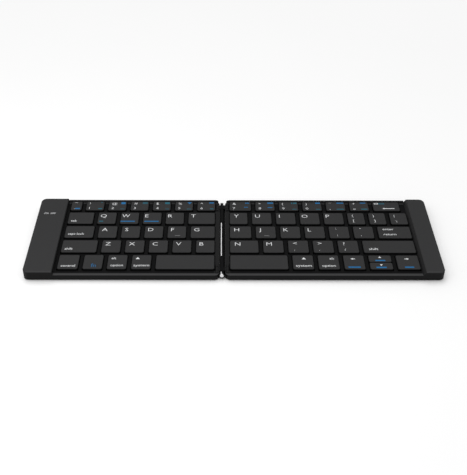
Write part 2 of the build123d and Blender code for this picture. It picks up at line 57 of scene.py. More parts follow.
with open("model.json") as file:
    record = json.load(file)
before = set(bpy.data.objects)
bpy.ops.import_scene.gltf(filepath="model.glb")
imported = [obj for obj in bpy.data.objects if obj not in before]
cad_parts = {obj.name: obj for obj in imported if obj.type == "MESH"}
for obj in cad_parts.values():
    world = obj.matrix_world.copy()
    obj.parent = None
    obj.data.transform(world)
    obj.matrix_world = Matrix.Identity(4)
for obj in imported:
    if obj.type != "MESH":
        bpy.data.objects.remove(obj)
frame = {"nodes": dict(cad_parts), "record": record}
CAD_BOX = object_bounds()
NODES = frame["nodes"]
RECORD = frame["record"]
SLOT_OF = {part["node"]: part["material_slot"] for part in RECORD["subparts"]}
BODY_OF = {
    node: body for body, members in RECORD["behaviour"]["bodies"].items() for node in members
}
FOLD_PIVOTS = [
    joint["pos_m"][0] for joint in RECORD["behaviour"]["joints"] if "fold" in joint["name"]
]
FOLD_X = sum(FOLD_PIVOTS) / len(FOLD_PIVOTS)  # halfway between the two pivots


# ---- settings that a user would change ----


class PrintSettings(bpy.types.PropertyGroup):
    """Sizes of what is printed on the keys."""

    letter_height: bpy.props.FloatProperty(
        name="Letter height", description="Height of a capital on a letter key",
        default=0.0040, unit="LENGTH", precision=5,
    )
    sign_height: bpy.props.FloatProperty(
        name="Sign height", description="Height of the figures and signs that stand two to a key",
        default=0.0028, unit="LENGTH", precision=5,
    )
    word_height: bpy.props.FloatProperty(
        name="Word height", description="Capital height of the lettering on the long keys",
        default=0.0025, unit="LENGTH", precision=5,
    )
    margin: bpy.props.FloatProperty(
        name="Margin", description="Space left of and behind the printing on a key",
        default=0.0021, unit="LENGTH", precision=5,
    )
    lift: bpy.props.FloatProperty(
        name="Lift", description="Height of the ink over the key",
        default=0.000015, unit="LENGTH", precision=6,
    )
    stretch: bpy.props.FloatProperty(
        name="Stretch", description="How much wider the lettering is than the font's own",
        default=1.15, min=0.5, max=2.0,
    )
    weight: bpy.props.FloatProperty(
        name="Weight", description="How far the strokes are widened, as a share of the letter size",
        default=-0.008, min=-0.05, max=0.05,
    )


class ColourSettings(bpy.types.PropertyGroup):
    """Colours of the plastics and the inks."""

    shell: bpy.props.FloatVectorProperty(
        name="Shell", description="Covers and end caps", subtype="COLOR", size=3,
        default=(0.0192, 0.0192, 0.0198), min=0.0, max=1.0,
    )
    key: bpy.props.FloatVectorProperty(
        name="Keys", description="Keycaps", subtype="COLOR", size=3,
        default=(0.0172, 0.0172, 0.0177), min=0.0, max=1.0,
    )
    # Painted shade: the ribs between the keys are kept very dark for the shade that falls between the
    # keys.
    deck: bpy.props.FloatVectorProperty(
        name="Deck", description="Ribs between the keys and the hinge spine", subtype="COLOR", size=3,
        default=(0.0028, 0.0028, 0.0030), min=0.0, max=1.0,
    )
    # Painted light: the pale tone of the lit strips of the deck round the keys, the strip along the
    # front edge among them.
    ledge: bpy.props.FloatVectorProperty(
        name="Ledge", description="Rubbed strip along the front edge", subtype="COLOR", size=3,
        default=(0.045, 0.045, 0.046), min=0.0, max=1.0,
    )
    white_ink: bpy.props.FloatVectorProperty(
        name="White ink", description="Main printing", subtype="COLOR", size=3,
        default=(0.74, 0.75, 0.76), min=0.0, max=1.0,
    )
    blue_ink: bpy.props.FloatVectorProperty(
        name="Blue ink", description="Printing of the second functions", subtype="COLOR", size=3,
        default=(0.010, 0.135, 0.330), min=0.0, max=1.0,
    )
    teal_ink: bpy.props.FloatVectorProperty(
        name="Teal ink", description="Fainter printing of the second functions", subtype="COLOR", size=3,
        default=(0.012, 0.105, 0.150), min=0.0, max=1.0,
    )


class StageSettings(bpy.types.PropertyGroup):
    """The studio round the keyboard."""

    floor_size: bpy.props.FloatProperty(
        name="Floor size", description="Side of the pale floor", default=6.0, unit="LENGTH",
    )
    softbox_watts: bpy.props.FloatProperty(
        name="Softbox", description="Power of the lamp over the left half", default=0.30,
        unit="POWER",
    )
    fill: bpy.props.FloatProperty(
        name="Fill", description="Brightness of the surroundings", default=0.62, min=0.0,
    )
    ceiling: bpy.props.FloatProperty(
        name="Ceiling", description="Strength of the wide even light from above", default=1.0, min=0.0,
    )
    glow: bpy.props.FloatProperty(
        name="Floor glow", description="Light that the floor adds to what the camera sees of it",
        default=0.09, min=0.0,
    )
    camera_lens: bpy.props.FloatProperty(
        name="Lens", description="Focal length of the camera in millimetres", default=66.248,
    )


class KeyboardSettings(bpy.types.PropertyGroup):
    """All settings of the folding keyboard's looks."""

    edge_softness: bpy.props.FloatProperty(
        name="Edge softness", description="Rounding of the edges of keys and shells",
        default=0.00012, unit="LENGTH", precision=6,
    )
    lip_reach: bpy.props.FloatProperty(
        name="Lip reach", description="From the fold to the edge of the lips under the spine",
        default=0.00206, unit="LENGTH", precision=6,
    )
    grain: bpy.props.FloatProperty(
        name="Grain", description="Size of the grains in the matte plastic",
        default=0.00022, unit="LENGTH", precision=6,
    )
    printing: bpy.props.PointerProperty(type=PrintSettings)
    colours: bpy.props.PointerProperty(type=ColourSettings)
    stage: bpy.props.PointerProperty(type=StageSettings)


def settings():
    """The settings of this scene."""
    return bpy.context.scene.keyboard_looks


# ---- materials ----


class Value:
    """A socket in a material. Sums and products of values are written as Python."""

    def __init__(self, finish, socket):
        self.finish = finish
        self.socket = socket

    def _work(self, operation, first, second):
        return self.finish.add("ShaderNodeMath", {"operation": operation}, {0: first, 1: second})

    def __add__(self, other):
        return self._work("ADD", self, other)

    def __radd__(self, other):
        return self._work("ADD", other, self)

    def __sub__(self, other):
        return self._work("SUBTRACT", self, other)

    def __rsub__(self, other):
        return self._work("SUBTRACT", other, self)

    def __mul__(self, other):
        return self._work("MULTIPLY", self, other)

    def __rmul__(self, other):
        return self._work("MULTIPLY", other, self)

    def __gt__(self, other):
        return self._work("GREATER_THAN", self, other)

    def __lt__(self, other):
        return self._work("LESS_THAN", self, other)

    def __mod__(self, other):
        return self._work("FLOORED_MODULO", self, other)


class Finish:
    """The nodes of a new material, or of another owner of nodes such as a world."""

    def __init__(self, name, owner=None):
        self.owner = owner or bpy.data.materials.new(name)
        self.owner.use_nodes = True
        self.tree = self.owner.node_tree
        self.tree.nodes.clear()

    def add(self, kind, options=None, inputs=None, output=0):
        """A node of this kind, its options set first, then the values or links of its sockets."""
        node = self.tree.nodes.new(kind)
        for name, value in (options or {}).items():
            if name == "stops":
                ramp = node.color_ramp
                while len(ramp.elements) < len(value):
                    ramp.elements.new(0.5)
                for element, (position, grey) in zip(ramp.elements, value):
                    element.position = position
                    element.color = (grey, grey, grey, 1.0)
            else:
                setattr(node, name, value)
        for name, value in (inputs or {}).items():
            if isinstance(value, Value):
                self.tree.links.new(value.socket, node.inputs[name])
            elif value is not None:
                node.inputs[name].default_value = value
        return Value(self, node.outputs[output]) if node.outputs else None

    def place(self):
        """Where on the keyboard a point is, in metres."""
        return self.add("ShaderNodeTexCoord", output="Object")

    def along(self, axis):
        """How far along an axis of the keyboard a point is, in metres."""
        return self.add("ShaderNodeSeparateXYZ", {}, {"Vector": self.place()}, output=axis)

    def noise(self, size, detail=3.0, stretch=(1.0, 1.0, 1.0)):
        """Cloudy pattern from 0 to 1 with clouds of this size."""
        where = self.add("ShaderNodeMapping", {}, {"Vector": self.place(), "Scale": stretch})
        return self.add(
            "ShaderNodeTexNoise", {"noise_dimensions": "3D"},
            {"Vector": where, "Scale": 1.0 / size, "Detail": detail, "Roughness": 0.55},
        )

    def blend(self, mask, low, high):
        """Colour low where the mask is 0 and high where it is 1."""
        return self.add(
            "ShaderNodeMix", {"data_type": "RGBA"},
            {0: mask, 6: colour(low), 7: colour(high)}, output=2,
        )

    def facing(self, axis):
        """How far a face looks along an axis of its part, from -1 to 1."""
        direction = self.add("ShaderNodeTexCoord", output="Normal")
        return self.add("ShaderNodeSeparateXYZ", {}, {"Vector": direction}, output=axis)

    def facing_up(self):
        """1 on tops and front edges, 0 on upright sides and on slopes that look sideways."""
        sideways = self.add("ShaderNodeMath", {"operation": "ABSOLUTE"}, {0: self.facing("X")})
        return self.ramp(self.facing("Z") - sideways * 0.6, (0.10, 0.0), (0.60, 1.0))

    def between_sides(self, near, far):
        """1 from the fold up to the first distance from it, 0 beyond the second."""
        away = self.add("ShaderNodeMath", {"operation": "ABSOLUTE"}, {0: self.along("X") - FOLD_X})
        return self.add("ShaderNodeMapRange", {}, {"Value": away, "From Min": far, "From Max": near})

    def near_front(self, inner, outer):
        """1 up to this far from the keyboard's front edge, 0 beyond the second distance."""
        front = CAD_BOX[0].y
        return self.add("ShaderNodeMapRange", {}, {
            "Value": self.along("Y"), "From Min": front + outer, "From Max": front + inner})

    def ramp(self, value, *stops):
        return self.add("ShaderNodeValToRGB", {"stops": stops}, {"Fac": value})

    def bump(self, height, strength, depth):
        return self.add(
            "ShaderNodeBump", {}, {"Height": height, "Strength": strength, "Distance": depth}
        )

    def surface(self, **sockets):
        """Ends the material with a plain surface. Underscores in the names stand for spaces."""
        inputs = {name.replace("_", " "): value for name, value in sockets.items()}
        inputs["Base Color"] = colour(inputs["Base Color"])
        shader = self.add("ShaderNodeBsdfPrincipled", {}, inputs)
        self.add("ShaderNodeOutputMaterial", {}, {"Surface": shader})
        return self.owner


def colour(value):
    """A colour with its alpha, or the value as it is where it comes from a node."""
    if isinstance(value, Value):
        return value
    return (value[0], value[1], value[2], 1.0)


def tinted(base, factor):
    """A colour made lighter or darker."""
    return tuple(min(1.0, part * factor) for part in base[:3])


# Reflection levels of the dark surfaces. A polished plastic would have 0.5.
MATTE_LEVEL, DECK_LEVEL, INK_LEVEL = 0.10, 0.03, 0.12

PORE_DEPTH = 0.00002
FRONT_EDGE_HIGHLIGHT = (0.0007, 0.0013)  # where the painted highlight along the front edge fades out, from the front


def moulded_plastic(name, base, roughness, grain_depth=PORE_DEPTH, spread=0.10, sides=1.0, edge=1.0):
    """Matte plastic with the spark-eroded grain of a mould and faint clouds in its gloss.

    It is paler towards the front: painted light, as if the lamps fell stronger there, with random
    clouds in its tone. Upright faces and slopes that look sideways take the share sides of the
    colour: painted shade. The front edge takes the colour edge times over: a painted highlight.
    """
    finish = Finish(name)
    pores = finish.noise(settings().grain, 2.0)
    clouds = finish.noise(0.018, 3.0)
    handling = finish.noise(0.006, 4.0)
    # Painted light: the tone is paler towards the front, as if the lamps fell stronger there; the clouds
    # add random tone.
    lit_front_and_clouds = finish.near_front(0.0, CAD_BOX[1].y - CAD_BOX[0].y) * 0.8 + clouds * 0.2
    tone = finish.blend(lit_front_and_clouds, tinted(base, 0.85), tinted(base, 1.20))
    tone = finish.blend((pores > 0.62) * 0.35, tone, tinted(base, 1.25))
    # Painted highlight: a pale band along the front edge.
    if edge > 1.0:
        tone = finish.blend(finish.near_front(*FRONT_EDGE_HIGHLIGHT), tone, tinted(base, edge))
    # Painted shade: upright faces and sideways slopes take a darker share of the colour.
    if sides < 1.0:
        tone = finish.blend(finish.facing_up(), tinted(base, sides), tone)
    return finish.surface(
        Base_Color=tone, Specular_IOR_Level=MATTE_LEVEL,
        Roughness=roughness - spread * 0.5 + handling * (spread * 0.6) + clouds * (spread * 0.4),
        Normal=finish.bump(pores, 0.35, grain_depth),
    )


# Where the paler strips round the keys, which are painted light, begin or end. Each has the distances of
# a short fade.
LEDGE_DEPTH = (0.0019, 0.0029)  # of the ledge before the keys, from the front
RIM_DEPTH = (0.0026, 0.0034)  # of the rim behind the keys, from the back
FOLD_STRIP_START = (0.0019, 0.0020)  # of the strip beside the fold, from the fold
FOLD_STRIP_END = (0.0052, 0.0058)


def deck_plastic(name, base, ledge):
    """Dull plastic of the ribs between the keys: dark as painted shade, with paler strips of painted
    light round the keys.
    """
    finish = Finish(name)
    pores = finish.noise(settings().grain, 2.0)
    clouds = finish.noise(0.018, 3.0)
    back = CAD_BOX[1].y - CAD_BOX[0].y
    before_keys = finish.near_front(*LEDGE_DEPTH)
    behind_keys = 1.0 - finish.near_front(back - RIM_DEPTH[1], back - RIM_DEPTH[0])
    by_fold = finish.between_sides(*FOLD_STRIP_END) - finish.between_sides(*FOLD_STRIP_START)
    upward = finish.facing_up()
    forward = finish.ramp(0.0 - finish.facing("Y"), (0.60, 0.0), (0.90, 1.0))
    tone = finish.blend(clouds, tinted(base, 0.93), tinted(base, 1.07))
    # Painted light: the strips round the keys take the pale tone, most on faces that look up and less on
    # faces that look forward.
    for mask, share in (
        (by_fold * upward, 0.28), (before_keys * upward, 1.0), (behind_keys * upward, 0.75),
        (behind_keys * forward, 0.60), (before_keys * forward, 0.30),
    ):
        tone = finish.blend(mask, tone, tinted(ledge, share))
    return finish.surface(
        Base_Color=tone, Specular_IOR_Level=DECK_LEVEL, Roughness=0.55 + clouds * 0.08,
        Normal=finish.bump(pores, 0.35, PORE_DEPTH),
    )


def brushed_metal(name, base, roughness, along=(1.0, 1.0, 1.0)):
    """Drawn metal with fine lines along one direction."""
    finish = Finish(name)
    lines = finish.noise(0.00018, 2.0, along)
    stains = finish.noise(0.004, 3.0)
    tone = finish.blend(lines, tinted(base, 0.82), tinted(base, 1.10))
    return finish.surface(
        Base_Color=tone, Metallic=1.0,
        Roughness=roughness + lines * 0.12 + stains * 0.08,
        Normal=finish.bump(lines, 0.25, 0.00001),
    )


def rubber(name, base):
    """Dull rubber with fine pores and a little dust."""
    finish = Finish(name)
    pores = finish.noise(0.0004, 4.0)
    dust = finish.noise(0.003, 3.0)
    tone = finish.blend(finish.ramp(dust, (0.45, 0.0), (0.75, 0.5)), base, tinted(base, 2.2))
    return finish.surface(
        Base_Color=tone, Roughness=0.78 + dust * 0.12, Normal=finish.bump(pores, 0.5, 0.00004),
    )


def printed_film(name):
    """Milky film with silver tracks that run to and fro."""
    finish = Finish(name)
    along, across = finish.along("X"), finish.along("Y")
    width, track_pitch, key_pitch, reach = 0.0005, 0.0042, 0.0170, 0.009
    track = ((across % track_pitch) < width) * 1.0
    link = ((along % key_pitch) < width) * ((across % key_pitch) < reach)
    silver = track + link - track * link
    clouds = finish.noise(0.01, 2.0)
    milk = finish.blend(clouds, (0.50, 0.54, 0.55), (0.58, 0.62, 0.63))
    return finish.surface(
        Base_Color=finish.blend(silver, milk, (0.30, 0.31, 0.32)),
        Roughness=0.35 + clouds * 0.1 + silver * 0.1,
    )


def circuit_lacquer(name):
    """Green board with paler tracks under the lacquer."""
    finish = Finish(name)
    cells = finish.add(
        "ShaderNodeTexBrick", {"offset": 0.35},
        {"Vector": finish.place(), "Scale": 420.0, "Mortar Size": 0.06, "Color1": (0, 0, 0, 1),
         "Color2": (0, 0, 0, 1), "Mortar": (1, 1, 1, 1)},
    )
    clouds = finish.noise(0.004, 2.0)
    mask = finish.ramp(cells, (0.2, 0.0), (0.8, 1.0)) * 0.8
    return finish.surface(
        Base_Color=finish.blend(mask, (0.012, 0.085, 0.040), (0.03, 0.19, 0.085)),
        Roughness=0.28 + clouds * 0.12, Normal=finish.bump(mask, 0.3, 0.00003),
    )


def pouch_foil(name):
    """Crinkled foil of a flat battery."""
    finish = Finish(name)
    creases = finish.noise(0.004, 5.0, (1.0, 0.4, 1.0))
    return finish.surface(
        Base_Color=finish.blend(creases, (0.44, 0.45, 0.47), (0.60, 0.61, 0.63)),
        Metallic=1.0, Roughness=0.30 + creases * 0.2, Normal=finish.bump(creases, 0.5, 0.0002),
    )


def flat_cable(name):
    """Amber film over copper strips that cross the fold."""
    finish = Finish(name)
    pitch, width = 0.0010, 0.0006
    strips = ((finish.along("Y") % pitch) < width) * 1.0
    return finish.surface(
        Base_Color=finish.blend(strips, (0.30, 0.11, 0.015), (0.52, 0.23, 0.05)),
        Roughness=0.3 + strips * 0.08, Normal=finish.bump(strips, 0.4, 0.00003),
    )


def ink(name, base):
    """Screen-printed ink: near even, a little thin in places."""
    finish = Finish(name)
    thin = finish.noise(0.0005, 3.0)
    cover = finish.ramp(thin, (0.30, 0.0), (0.55, 1.0))
    return finish.surface(
        Base_Color=finish.blend(cover, tinted(base, 0.86), base), Roughness=0.5 + thin * 0.1,
        Specular_IOR_Level=INK_LEVEL,
    )


def make_finishes():
    """One material for each finish of the record, and the inks."""
    colours = settings().colours
    return {
        # Painted shade on the shell's upright faces and slopes, and a painted highlight along its front
        # edge.
        "shell": moulded_plastic("shell_painted_light_and_shade", colours.shell, 0.50, sides=0.35, edge=1.9),
        # Painted shade: the sides of the keys take a tenth of the colour, near black.
        "key": moulded_plastic(
            "key_painted_light_and_shade", colours.key, 0.46, grain_depth=0.000012, spread=0.08, sides=0.1),
        "frame": deck_plastic("deck_plastic", colours.deck, colours.ledge),
        "rubber": rubber("foot_rubber", (0.020, 0.020, 0.020)),
        "plate": brushed_metal("plate_aluminium", (0.56, 0.57, 0.58), 0.32, (0.05, 1.0, 1.0)),
        "film": printed_film("membrane_film"),
        "steel": brushed_metal("hinge_steel", (0.78, 0.78, 0.79), 0.26, (1.0, 0.06, 1.0)),
        "board": circuit_lacquer("board_lacquer"),
        "foil": pouch_foil("battery_foil"),
        "flex": flat_cable("cable_film"),
        "white": ink("white_ink", colours.white_ink),
        "pale": ink("label_ink", tinted(colours.white_ink, 1.1)),
        "blue": ink("blue_ink", colours.blue_ink),
        "teal": ink("teal_ink", colours.teal_ink),
        # Painted highlight: the homing bars take a tone eight times paler than the keys.
        "ridge": moulded_plastic("ridge_painted_highlight", tinted(colours.key, 8.0), 0.4),
        "chip": moulded_plastic("chip_resin", (0.012, 0.012, 0.013), 0.42),
        "gold": brushed_metal("contact_gold", (0.83, 0.58, 0.25), 0.24),
        # Painted shade: a dark cross stands for the shaded hollow of each screw's recess.
        "recess": moulded_plastic("recess_painted_shade", (0.010, 0.010, 0.010), 0.6),
    }


FINISHES = {}


def finish_of(name):
    """A finish by its name. All of them are made when the first is asked for."""
    if not FINISHES:
        FINISHES.update(make_finishes())
    return FINISHES[name]


def dress(nodes):
    """Gives each of these parts the finish that the record names for it."""
    for node in nodes:
        mesh = NODES[node].data
        mesh.materials.clear()
        mesh.materials.append(finish_of(SLOT_OF[node]))


def soften(nodes, share=1.0):
    """Rounds the sharp edges of these parts a little."""
    for node in nodes:
        modifier = NODES[node].modifiers.new("soft_edges", "BEVEL")
        modifier.width = settings().edge_softness * share
        modifier.segments = 2
        modifier.limit_method = "ANGLE"
        modifier.angle_limit = math.radians(35)
        modifier.use_clamp_overlap = True
        modifier.harden_normals = True


# ---- printing and small fittings ----


def link_new(name, data):
    """A new object in the scene."""
    thing = bpy.data.objects.new(name, data)
    bpy.context.scene.collection.objects.link(thing)
    return thing


def mesh_of(form, name):
    """The mesh of a form under construction, which is used up."""
    mesh = bpy.data.meshes.new(name)
    form.to_mesh(mesh)
    form.free()
    return mesh


def show(name, form, body, materials):
    """Puts a form under construction in the scene as a piece that rides on a body."""
    mesh = mesh_of(form, name)
    for material in materials:
        mesh.materials.append(finish_of(material))
    piece = link_new(name, mesh)
    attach(piece, body)


def box_into(form, low, high, index=0):
    """Adds a box between two corners to a form under construction."""
    made = bmesh.ops.create_cube(form, size=1.0)["verts"]
    middle, size = (low + high) / 2, high - low
    for vertex in made:
        vertex.co = Vector(tuple(middle[i] + vertex.co[i] * size[i] for i in range(3)))
    for face in {face for vertex in made for face in vertex.link_faces}:
        face.material_index = index


def prism_into(form, plan, low, high):
    """Adds an upright prism on this plan to a form under construction."""
    if area(plan) < 0:
        plan = plan[::-1]
    rings = [[form.verts.new((x, y, z)) for x, y in plan] for z in (low, high)]
    form.faces.new(rings[0][::-1])
    form.faces.new(rings[1])
    for i in range(len(plan)):
        j = (i + 1) % len(plan)
        form.faces.new((rings[0][i], rings[0][j], rings[1][j], rings[1][i]))


def ball(segments, rings, radius):
    """A form with a smooth ball round the origin, its faces in the same order each time."""
    form = bmesh.new()
    bmesh.ops.create_uvsphere(form, u_segments=segments, v_segments=rings, radius=radius)
    skew = (1.0, 0.61, 0.27)
    form.verts.sort(key=lambda vertex: vertex.co.dot(skew))
    form.faces.sort(key=lambda face: face.calc_center_median().dot(skew))
    for face in form.faces:
        face.smooth = True
    return form


def look_up(form):
    """Turns the faces of flat printing that look down."""
    for face in form.faces:
        if face.normal.z < 0:
            face.normal_flip()


LEVEL = 0.00002  # points closer in height than this are on one level


def key_tops(node):
    """The flat top of each key in a part, row by row from the front, each row from the left."""
    mesh = NODES[node].data
    # Corners a micrometre apart are one, so that the faces of a key hang together.
    spots = [tuple(round(part, 6) for part in vertex.co) for vertex in mesh.vertices]
    leader = {spot: spot for spot in spots}

    def lead(spot):
        while leader[spot] != spot:
            leader[spot] = leader[leader[spot]]
            spot = leader[spot]
        return spot

    for face in mesh.polygons:
        first = lead(spots[face.vertices[0]])
        for index in face.vertices[1:]:
            leader[lead(spots[index])] = first
    keys = {}
    for spot in leader:
        keys.setdefault(lead(spot), []).append(spot)
    tops = []
    for corners in keys.values():
        height = max(spot[2] for spot in corners)
        top = [spot for spot in corners if spot[2] > height - LEVEL]
        low = Vector((min(spot[0] for spot in top), min(spot[1] for spot in top), height))
        high = Vector((max(spot[0] for spot in top), max(spot[1] for spot in top), height))
        tops.append((low, high))
    return sorted(tops, key=lambda top: (round(top[0].y, 4), top[0].x))


CAPITAL = 0.729  # height of a capital in the built-in font, at a size of one


def text_shape(words, height, stretch=1.0, heavier=0.0):
    """Lettering as flat faces, with its left end at the origin and its letters standing on it."""
    curve = bpy.data.curves.new("lettering", "FONT")
    curve.body = words
    curve.resolution_u = 2
    curve.offset = settings().printing.weight + heavier
    holder = link_new("lettering", curve)
    bpy.context.view_layer.update()
    solid = holder.evaluated_get(bpy.context.evaluated_depsgraph_get())
    mesh = bpy.data.meshes.new_from_object(solid)
    bpy.data.objects.remove(holder)
    bpy.data.curves.remove(curve)
    scale = height / CAPITAL
    left = min((vertex.co.x for vertex in mesh.vertices), default=0.0)
    faces = [
        [((mesh.vertices[i].co.x - left) * scale * stretch, mesh.vertices[i].co.y * scale)
         for i in face.vertices]
        for face in mesh.polygons
    ]
    bpy.data.meshes.remove(mesh)
    return faces


def bar(width, height):
    return [[(0, 0), (width, 0), (width, height), (0, height)]]


def outline(width, height, stroke):
    """The outline of a bar, as four thin bars."""
    long, short = bar(width, stroke), bar(stroke, height - 2 * stroke)
    return (long + moved(long, 0, height - stroke) + moved(short, 0, stroke)
            + moved(short, width - stroke, stroke))


def triangle(width, height, turn):
    """A triangle that points up, down or to the right."""
    shape = {
        "up": [(0, 0), (1, 0), (0.5, 1)],
        "down": [(0, 1), (0.5, 0), (1, 1)],
        "right": [(0, 0), (1, 0.5), (0, 1)],
    }[turn]
    return [[(x * width, y * height) for x, y in shape]]


def arrow(width, height, turn, stroke):
    """A short arrow with a bar behind its head."""
    head = min(width * 0.5, height * 0.9)
    middle = height / 2
    left = turn == "left"
    tip, neck, end = (0, head, width) if left else (width, width - head, 0)
    faces = [[(tip, middle), (neck, 0), (neck, height)]]
    low, high = sorted((neck, end))
    faces.append([
        (low, middle - stroke / 2), (high, middle - stroke / 2),
        (high, middle + stroke / 2), (low, middle + stroke / 2),
    ])
    return [face if area(face) > 0 else face[::-1] for face in faces]


def area(face):
    """Area of a flat face, negative where its corners run clockwise."""
    return sum(a[0] * b[1] - b[0] * a[1] for a, b in zip(face, face[1:] + face[:1])) / 2


def moved(faces, x, y):
    """Faces shifted to the right and to the back."""
    return [[(a + x, b + y) for a, b in face] for face in faces]


def extent(faces):
    """The box round some faces: left, front, right, back."""
    xs = [x for face in faces for x, _ in face]
    ys = [y for face in faces for _, y in face]
    return min(xs), min(ys), max(xs), max(ys)


INKS = ("white", "blue", "teal")
MERGE = 1e-7  # corners of printing closer than this are one
SLIVER = 2e-11  # faces of printing below this area, in square metres, are left out


def print_on(node, marks):
    """Prints marks on a part's keys.

    Each mark is an ink, the key's number in the part, faces, and where they go: the corner of
    the key that they are measured from, the margin at its side and the margin behind or in
    front. From a middle, the margins are ways to the right and to the back.
    """
    lift = settings().printing.lift
    tops = key_tops(node)
    form = bmesh.new()
    used = [name for name in INKS if any(mark[0] == name for mark in marks)]
    for name, number, faces, corner, right, back in marks:
        low, high = tops[number]
        x0, y0, x1, y1 = extent(faces)
        x = {"left": low.x + right - x0, "right": high.x - right - x1,
             "middle": (low.x + high.x) / 2 + right - (x0 + x1) / 2}[corner[1]]
        y = {"back": high.y - back - y1, "front": low.y + back - y0,
             "middle": (low.y + high.y) / 2 + back - (y0 + y1) / 2}[corner[0]]
        for face in faces:
            corners = [form.verts.new((x + a, y + b, low.z + lift)) for a, b in face]
            form.faces.new(corners).material_index = used.index(name)
    bmesh.ops.remove_doubles(form, verts=form.verts, dist=MERGE)
    slivers = [face for face in form.faces if face.calc_area() < SLIVER]
    bmesh.ops.delete(form, geom=slivers, context="FACES")
    look_up(form)
    form.normal_update()
    show(node + "_print", form, BODY_OF[node], used)


def big(text, share=1.0):
    """Lettering of the letter keys, narrower where the share is under 1."""
    printing = settings().printing
    return text_shape(text, printing.letter_height, printing.stretch * share)


def small(text, share=1.0):
    """Figures and signs that stand two to a key, taller where the share is over 1."""
    printing = settings().printing
    return text_shape(text, printing.sign_height * share, printing.stretch)


WORD_WEIGHT = 0.010  # how much heavier than the letters the words are


def word(text, share=1.0):
    """Lettering of the long keys, wider where the share is over 1."""
    return text_shape(text, settings().printing.word_height, share, WORD_WEIGHT)


def stacked(number, upper, lower, ink_name="white"):
    """Two signs one over the other at a key's left."""
    margin = settings().printing.margin
    return [
        (ink_name, number, small(upper), ("back", "left"), margin, 0.0010),
        (ink_name, number, small(lower), ("front", "left"), margin, 0.0012),
    ]


LETTERS = "abcdefghijklmnopqrstuvwxyz"
NUDGE = {  # letters that stand further right, or left where negative, than the margin says
    "q": -0.0007, "w": -0.0014, "e": -0.0011, "r": -0.0008, "t": -0.0005, "y": 0.0008,
    "h": 0.0009, "n": 0.0012, "o": -0.0010, "p": -0.0008,
}
SECOND_USE = {  # letters with a second function under them: its ink, width and way from the middle
    "q": ("teal", 0.0030, -0.0040), "w": ("blue", 0.0106, -0.0012), "e": ("blue", 0.0106, -0.0004),
}


class KEYBOARD_OT_dress_shells(bpy.types.Operator):
    """Gives the covers, end caps, feet and screws their finishes"""

    bl_idname = "keyboard.dress_shells"
    bl_label = "Shells"

    def execute(self, context):
        nodes = [n for n in NODES if n.startswith(("left_", "right_")) and "pins" not in n]
        dress(nodes)
        soften([n for n in nodes if n.endswith(("wing_cover", "bottom_cover"))], 1.6)
        return {"FINISHED"}


class KEYBOARD_OT_dress_keys(bpy.types.Operator):
    """Gives every keycap its satin plastic and soft edges"""

    bl_idname = "keyboard.dress_keys"
    bl_label = "Keycaps"

    def execute(self, context):
        nodes = [n for n in NODES if n.startswith("key")]
        dress(nodes)
        soften(nodes)
        return {"FINISHED"}


class KEYBOARD_OT_dress_fold(bpy.types.Operator):
    """Gives the hinge spine, its rod, the pins and the flat cable their finishes"""

    bl_idname = "keyboard.dress_fold"
    bl_label = "Fold"

    def execute(self, context):
        dress(n for n in NODES if "hinge" in n or n == "flex_cable")
        soften(["hinge_spine"])
        return {"FINISHED"}


class KEYBOARD_OT_add_fold_trim(bpy.types.Operator):
    """Adds the dark lips that close the gaps beside the spine, and the round end behind it"""

    bl_idname = "keyboard.add_fold_trim"
    bl_label = "Fold trim"

    def execute(self, context):
        low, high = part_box("hinge_spine")
        reach = settings().lip_reach
        inset, overhang = 0.0003, 0.0016  # of the lips and of their ends, from the spine's ends
        bottom, top = 0.00176, 0.00191
        end_bottom, end_top = 0.0013, 0.00225
        form = bmesh.new()
        for near, far in ((-reach, -0.0013), (0.0006, reach)):
            box_into(form, Vector((FOLD_X + near, low.y + inset, bottom)),
                     Vector((FOLD_X + far, high.y - inset, top)))
        # Half widths of the flared ends, each with its distance from the keyboard's edge.
        flare = ((0.00205, 0.0024), (0.00232, 0.0016), (0.00270, 0.0010))
        for edge, inward, steps in (
            (low.y - overhang, 1, flare[:2]), (high.y + overhang, -1, flare),
        ):
            plan = [(FOLD_X + x, edge + inward * y) for x, y in steps]
            plan += [(2 * FOLD_X - x, y) for x, y in reversed(plan)]
            prism_into(form, plan, end_bottom, end_top)
        show("fold_lips", form, "hinge_link", ["rubber"])
        form = ball(20, 12, 1.0)
        middle = Vector((FOLD_X - 0.00035, high.y - 0.0001, 0.0034))
        radii = Vector((0.00115, 0.0013, 0.0012))
        for vertex in form.verts:
            vertex.co = middle + vertex.co * radii
        show("spine_end", form, "hinge_link", ["key"])
        return {"FINISHED"}


class KEYBOARD_OT_dress_inside(bpy.types.Operator):
    """Gives the board, battery, charging socket and power switch their finishes"""

    bl_idname = "keyboard.dress_inside"
    bl_label = "Inside"

    def execute(self, context):
        dress(["circuit_board", "charging_port", "switch_body", "switch_knob", "battery"])
        return {"FINISHED"}


class KEYBOARD_OT_print_letters(bpy.types.Operator):
    """Prints the letter keys"""

    bl_idname = "keyboard.print_letters"
    bl_label = "Letters"

    def execute(self, context):
        margin = settings().printing.margin
        for letter in LETTERS:
            place = margin + NUDGE.get(letter, 0.0)
            shape = big(letter.upper(), 0.87 if letter == "w" else 1.0)
            marks = [("white", 0, shape, ("back", "left"), place, 0.0021)]
            if letter in SECOND_USE:
                ink_name, width, aside = SECOND_USE[letter]
                marks.append((ink_name, 0, bar(width, 0.0011), ("front", "middle"), aside, 0.0022))
            print_on("key_" + letter, marks)
        return {"FINISHED"}


